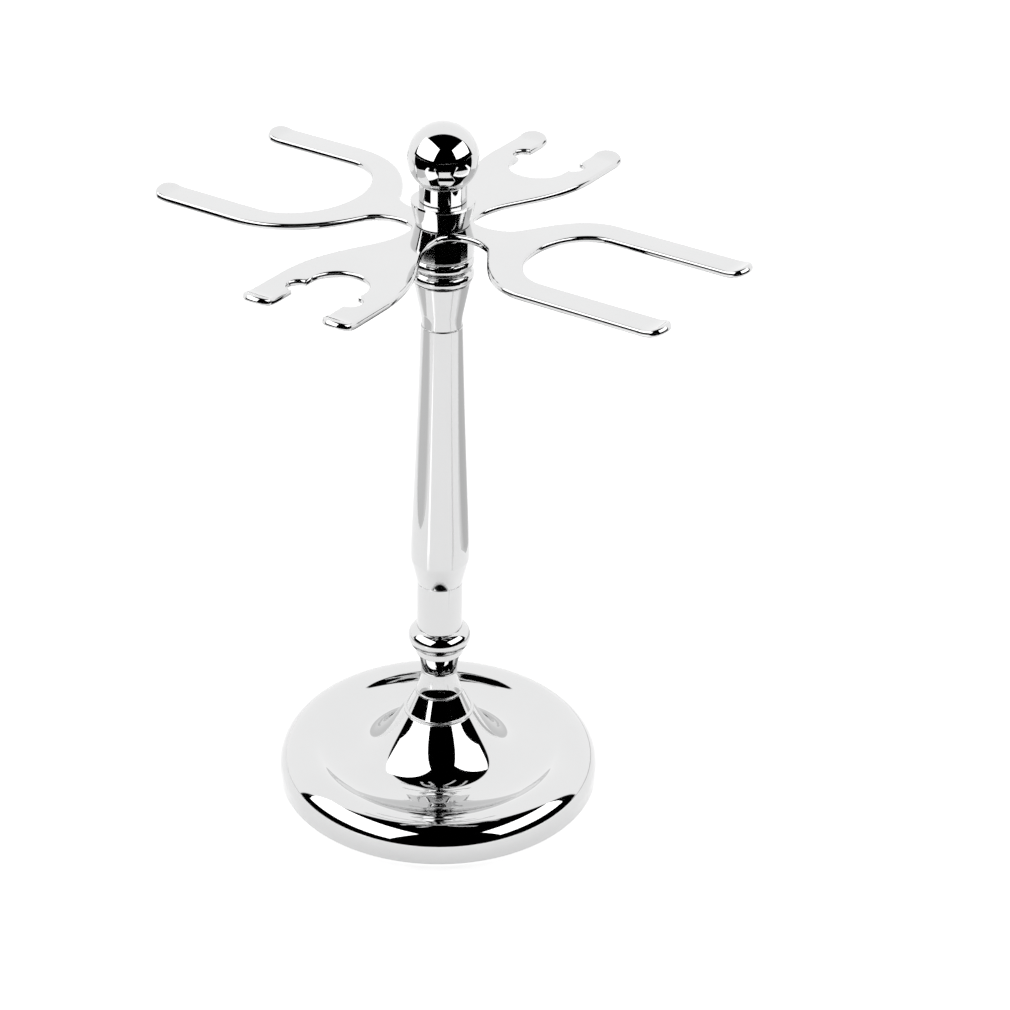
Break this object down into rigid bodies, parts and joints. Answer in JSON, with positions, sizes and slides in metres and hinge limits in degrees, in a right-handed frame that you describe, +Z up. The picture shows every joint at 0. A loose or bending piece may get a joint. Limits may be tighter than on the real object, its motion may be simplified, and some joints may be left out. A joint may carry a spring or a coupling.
{
  "type": "shaving brush and razor stand",
  "caption": "Chrome counter stand: weighted dished base, turned stem, and a swivelling four-armed plate with forks for brushes and claws for razors, clamped by a ball finial.",
  "frame": {"origin": "centre of the foot pad's underside, on the stem's axis, on the surface the stand rests on", "axes": "+Z up the stem; +X along the small brush fork; +Y along one razor claw"},
  "size_m": [0.117, 0.1, 0.153],
  "materials": {
    "chrome": "bright polished chrome plating",
    "plain_steel": "zinc-plated steel fasteners",
    "cast_weight": "rough cast iron",
    "foam_pad": "matt closed-cell foam rubber"
  },
  "bodies": {
    "stand": {"foot_pad": "foam_pad", "base_shell": "chrome", "ballast_disc": "cast_weight", "clamp_washer": "plain_steel", "lock_washer": "plain_steel", "base_nut": "plain_steel", "tie_rod": "plain_steel", "base_ferrule": "chrome", "stem_neck": "chrome", "stem_knop": "chrome", "stem_body": "chrome", "stem_vase": "chrome", "bead_collar": "chrome", "stem_washer": "plain_steel", "stem_nut": "plain_steel", "seat_ring": "chrome"},
    "hanger": {"hanger_plate": "chrome"},
    "cup": {"clamp_cup": "chrome"},
    "finial": {"finial_neck": "chrome", "ball_knob": "chrome"}
  },
  "joints": [
    {"name": "hanger_swivel", "type": "hinge", "parent": "stand", "child": "hanger", "pos_m": [0, 0, 0.13125], "axis": [0, 0, 1], "continuous": true},
    {"name": "finial_lift", "type": "slide", "parent": "stand", "child": "cup", "axis": [0, 0, 1], "range_m": [0, 0.00801]},
    {"name": "finial_turn", "type": "hinge", "parent": "cup", "child": "finial", "pos_m": [0, 0, 0.1371], "axis": [0, 0, 1], "range_deg": [0, 3600]}
  ],
  "couplings": [
    {"joint": "finial_lift", "follows": "finial_turn", "m_per_rad": 0.00012732}
  ]
}
